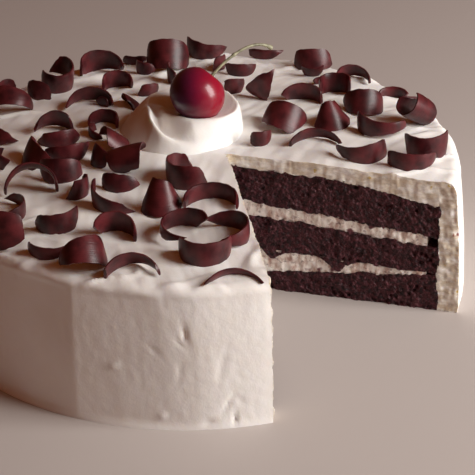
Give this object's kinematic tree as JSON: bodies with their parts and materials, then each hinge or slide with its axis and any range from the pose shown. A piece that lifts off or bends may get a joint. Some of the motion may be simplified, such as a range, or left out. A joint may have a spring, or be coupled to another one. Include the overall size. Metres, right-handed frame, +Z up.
{
  "type": "black forest cake",
  "caption": "Round layered chocolate cake in whipped cream with a large slice taken out, a piped rosette with a cherry and scattered chocolate curls.",
  "frame": {"origin": "middle of the cake's underside, on the surface that it stands on", "axes": "+Z up; the missing slice opens towards +X and -Y"},
  "size_m": [0.242, 0.242, 0.1039],
  "materials": {
    "chocolate_sponge": "moist dark chocolate sponge with an open crumb",
    "filling_cream": "whipped cream stained by the sponge, cut by a knife",
    "whipped_cream": "satin whipped cream smoothed with a palette knife",
    "cherry_skin": "glossy sweet cherry skin",
    "cherry_stem": "thin green-brown cherry stem",
    "dark_chocolate": "satin dark chocolate shaved into curls"
  },
  "bodies": {
    "root": {"sponge_bottom": "chocolate_sponge", "sponge_middle": "chocolate_sponge", "sponge_top": "chocolate_sponge", "filling_lower": "filling_cream", "filling_upper": "filling_cream", "cream_coat": "whipped_cream", "rosette": "whipped_cream", "cherry": "cherry_skin", "cherry_stem": "cherry_stem", "curl_01": "dark_chocolate", "curl_02": "dark_chocolate", "curl_03": "dark_chocolate", "curl_04": "dark_chocolate", "curl_05": "dark_chocolate", "curl_06": "dark_chocolate", "curl_07": "dark_chocolate", "curl_08": "dark_chocolate", "curl_09": "dark_chocolate", "curl_10": "dark_chocolate", "curl_11": "dark_chocolate", "curl_12": "dark_chocolate", "curl_13": "dark_chocolate", "curl_14": "dark_chocolate", "curl_15": "dark_chocolate", "curl_16": "dark_chocolate", "curl_17": "dark_chocolate", "curl_18": "dark_chocolate", "curl_19": "dark_chocolate", "curl_20": "dark_chocolate", "curl_21": "dark_chocolate", "curl_22": "dark_chocolate", "curl_23": "dark_chocolate", "curl_24": "dark_chocolate", "curl_25": "dark_chocolate", "curl_26": "dark_chocolate", "curl_27": "dark_chocolate", "curl_28": "dark_chocolate", "curl_29": "dark_chocolate", "curl_30": "dark_chocolate", "curl_31": "dark_chocolate", "curl_32": "dark_chocolate", "curl_33": "dark_chocolate", "curl_34": "dark_chocolate", "curl_35": "dark_chocolate", "curl_36": "dark_chocolate", "curl_37": "dark_chocolate", "curl_38": "dark_chocolate", "curl_39": "dark_chocolate", "curl_40": "dark_chocolate", "curl_41": "dark_chocolate", "curl_42": "dark_chocolate", "curl_43": "dark_chocolate", "curl_44": "dark_chocolate", "curl_45": "dark_chocolate", "curl_46": "dark_chocolate", "curl_47": "dark_chocolate", "curl_48": "dark_chocolate", "curl_49": "dark_chocolate", "curl_50": "dark_chocolate", "curl_51": "dark_chocolate"}
  },
  "joints": []
}
